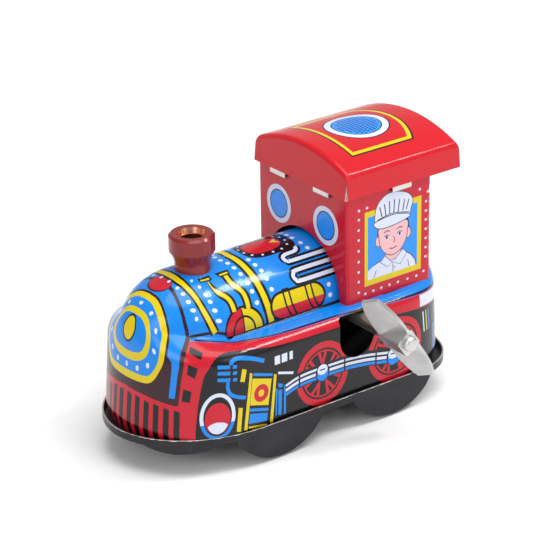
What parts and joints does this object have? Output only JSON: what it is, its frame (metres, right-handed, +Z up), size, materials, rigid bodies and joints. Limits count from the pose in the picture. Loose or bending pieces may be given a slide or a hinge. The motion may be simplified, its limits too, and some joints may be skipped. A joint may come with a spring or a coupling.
{
  "type": "tin clockwork train locomotive",
  "caption": "Small wind-up tin locomotive: printed boiler shell, cab with barrel roof, turned chimney, black pan with dummy wheels, side winding key and gear-driven wheels.",
  "frame": {"origin": "middle of the whole box, key included, on the surface the wheels stand on", "axes": "+X forward towards the nose, +Y towards the key side, +Z up"},
  "size_m": [0.076, 0.0498, 0.056],
  "materials": {
    "printed_tin_blue": "glossy litho print",
    "printed_tin_red": "glossy litho print",
    "black_tin": "semi-gloss enamel",
    "lacquered_red": "satin lacquer",
    "copper": "bright",
    "bright_steel": "bright tinplate",
    "spring_steel": "blued",
    "dull_steel": "dull, lightly oxidised",
    "zinc_plate": "zinc plated, tumbled",
    "brass": "stamped",
    "black_plastic": "moulded",
    "rubber": "matt"
  },
  "bodies": {
    "chassis": {"base_pan": "black_tin", "body_shell": "printed_tin_blue", "bracket_rivets": "dull_steel", "cab": "printed_tin_red", "cab_roof": "printed_tin_red", "chimney": "lacquered_red", "chimney_eyelet": "copper", "front_bracket": "bright_steel", "mainspring": "spring_steel", "motor_pillars": "bright_steel", "motor_plate_left": "bright_steel", "motor_plate_right": "bright_steel", "spring_post": "bright_steel"},
    "key_train": {"winding_arbor": "dull_steel", "ratchet_wheel": "dull_steel", "click": "dull_steel", "click_spring": "spring_steel", "click_rivet": "dull_steel", "great_gear": "brass", "key_wings": "zinc_plate", "key_rivet": "zinc_plate"},
    "cluster": {"cluster_arbor": "dull_steel", "cluster_pinion": "brass", "cluster_gear": "brass"},
    "drive_wheels": {"drive_axle": "dull_steel", "drive_pinion": "brass", "drive_wheel_left": "black_plastic", "drive_wheel_right": "black_plastic", "drive_tyre_left": "rubber", "drive_tyre_right": "rubber"},
    "front_wheels": {"front_axle": "dull_steel", "front_wheel_left": "black_plastic", "front_wheel_right": "black_plastic", "front_tyre_left": "rubber", "front_tyre_right": "rubber"}
  },
  "joints": [
    {"name": "key_turn", "type": "hinge", "parent": "chassis", "child": "key_train", "pos_m": [-0.01055, -0.00673, 0.0225], "axis": [0, 1, 0], "continuous": true},
    {"name": "cluster_spin", "type": "hinge", "parent": "chassis", "child": "cluster", "pos_m": [-0.01871, -0.00673, 0.01665], "axis": [0, 1, 0], "continuous": true},
    {"name": "drive_wheels_spin", "type": "hinge", "parent": "chassis", "child": "drive_wheels", "pos_m": [-0.0169, -0.00673, 0.0083], "axis": [0, 1, 0], "continuous": true},
    {"name": "front_wheels_spin", "type": "hinge", "parent": "chassis", "child": "front_wheels", "pos_m": [0.0112, -0.00673, 0.0083], "axis": [0, 1, 0], "continuous": true}
  ],
  "couplings": [
    {"joint": "cluster_spin", "follows": "drive_wheels_spin", "ratio": -0.41667},
    {"joint": "key_turn", "follows": "drive_wheels_spin", "ratio": 0.13889}
  ]
}
